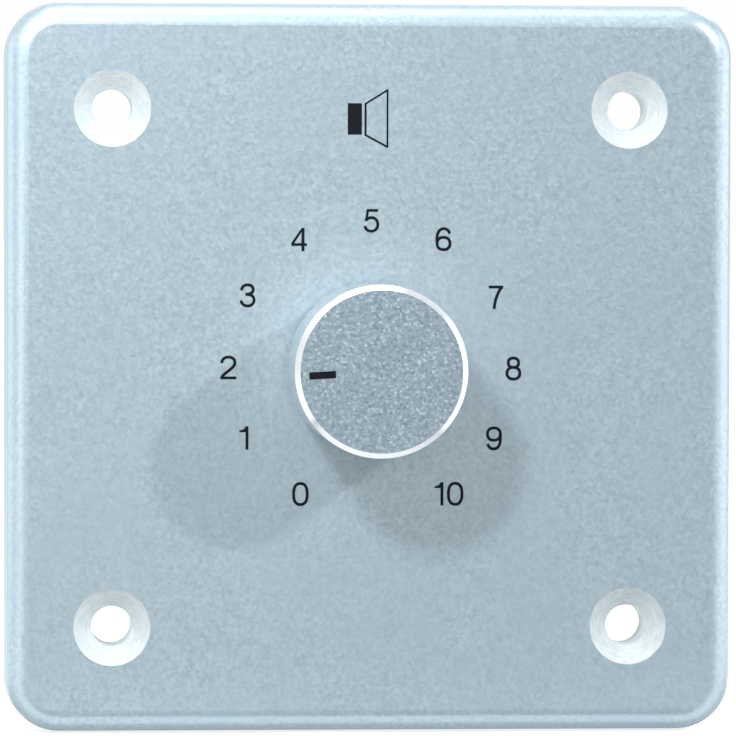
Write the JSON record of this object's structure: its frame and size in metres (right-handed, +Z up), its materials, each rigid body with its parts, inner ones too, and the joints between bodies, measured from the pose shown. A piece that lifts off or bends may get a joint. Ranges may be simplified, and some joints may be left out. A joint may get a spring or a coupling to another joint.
{
  "type": "speaker volume control",
  "caption": "Square wall control for a loudspeaker: cast plate, stepped knob with a dial, rotary switch, tapped transformer and screw terminals behind.",
  "frame": {"origin": "centre of the wall plane behind the plate, on the knob's axis", "axes": "+Y into the wall along the knob's axis, +X to the right seen from the front, +Z up"},
  "size_m": [0.08, 0.0687, 0.08],
  "materials": {
    "plate_paint": "fine grey-silver metallic paint on cast metal, satin",
    "knob_aluminium": "bright turned edge and side, fine-blasted face",
    "black_plastic": "moulded, fine texture",
    "pointer_black": "filled line, flush with the knob's face",
    "bright_steel": "zinc plated, slightly clouded",
    "shaft_steel": "ground bar",
    "spring_steel": "drawn wire",
    "nickel_brass": "turned, dull nickel plate",
    "contact_bronze": "pressed spring bronze",
    "tinned_pins": "tinned",
    "solder": "smooth, rounded wetting edge",
    "switch_moulding": "glass-filled moulding",
    "rotor_moulding": "natural acetal",
    "base_laminate": "brown laminate",
    "board_green": "green solder mask over glass-fibre laminate",
    "core_steel": "stacked lacquered sheet steel",
    "bobbin_nylon": "natural nylon moulding",
    "winding_copper": "lacquered copper wire, close wound",
    "tape_yellow": "polyester tape, wound with an overlap",
    "terminal_green": "glass-filled moulding"
  },
  "bodies": {
    "root": {"front_plate": "plate_paint", "switch_housing": "switch_moulding", "switch_bushing": "nickel_brass", "bushing_washer": "bright_steel", "bushing_nut": "nickel_brass", "stop_ring": "bright_steel", "switch_base": "base_laminate", "switch_contacts": "tinned_pins", "common_contact": "tinned_pins", "switch_screws": "bright_steel", "circuit_board": "board_green", "board_standoffs": "nickel_brass", "board_washers": "bright_steel", "board_screws": "bright_steel", "solder_joints_front": "solder", "solder_joints_rear": "solder", "core_e_plates": "core_steel", "core_i_plates": "core_steel", "coil_bobbin": "bobbin_nylon", "coil_winding": "winding_copper", "coil_tape": "tape_yellow", "bobbin_pins": "tinned_pins", "core_strap": "bright_steel", "strap_screws": "bright_steel", "strap_nuts": "bright_steel", "terminal_housing": "terminal_green", "terminal_pins": "tinned_pins"},
    "knob": {"knob_shell": "knob_aluminium", "knob_core": "black_plastic", "knob_pointer": "pointer_black", "knob_grub_screw": "bright_steel", "switch_shaft": "shaft_steel", "shaft_circlip": "spring_steel", "detent_rotor": "rotor_moulding", "detent_balls": "shaft_steel", "detent_springs": "spring_steel", "wiper_contact": "contact_bronze"},
    "clamp_screw_1": {"terminal_screw_1": "bright_steel"},
    "clamp_cage_1": {"terminal_cage_1": "nickel_brass"},
    "clamp_screw_2": {"terminal_screw_2": "bright_steel"},
    "clamp_cage_2": {"terminal_cage_2": "nickel_brass"},
    "clamp_screw_3": {"terminal_screw_3": "bright_steel"},
    "clamp_cage_3": {"terminal_cage_3": "nickel_brass"}
  },
  "joints": [
    {"name": "knob_turn", "type": "hinge", "parent": "root", "child": "knob", "pos_m": [0, -0.008, 0], "axis": [0, 1, 0], "range_deg": [-60, 240]},
    {"name": "clamp_screw_1_turn", "type": "hinge", "parent": "root", "child": "clamp_screw_1", "pos_m": [-0.00508, 0.0195, -0.0192], "axis": [0, -1, 0], "range_deg": [0, 1440]},
    {"name": "clamp_cage_1_rise", "type": "slide", "parent": "root", "child": "clamp_cage_1", "axis": [0, 1, 0], "range_m": [0, 0.0018]},
    {"name": "clamp_screw_2_turn", "type": "hinge", "parent": "root", "child": "clamp_screw_2", "pos_m": [0, 0.0195, -0.0192], "axis": [0, -1, 0], "range_deg": [0, 1440]},
    {"name": "clamp_cage_2_rise", "type": "slide", "parent": "root", "child": "clamp_cage_2", "axis": [0, 1, 0], "range_m": [0, 0.0018]},
    {"name": "clamp_screw_3_turn", "type": "hinge", "parent": "root", "child": "clamp_screw_3", "pos_m": [0.00508, 0.0195, -0.0192], "axis": [0, -1, 0], "range_deg": [0, 1440]},
    {"name": "clamp_cage_3_rise", "type": "slide", "parent": "root", "child": "clamp_cage_3", "axis": [0, 1, 0], "range_m": [0, 0.0018]}
  ],
  "couplings": [
    {"joint": "clamp_screw_1_turn", "follows": "clamp_cage_1_rise", "rad_per_m": 13963},
    {"joint": "clamp_screw_2_turn", "follows": "clamp_cage_2_rise", "rad_per_m": 13963},
    {"joint": "clamp_screw_3_turn", "follows": "clamp_cage_3_rise", "rad_per_m": 13963}
  ]
}
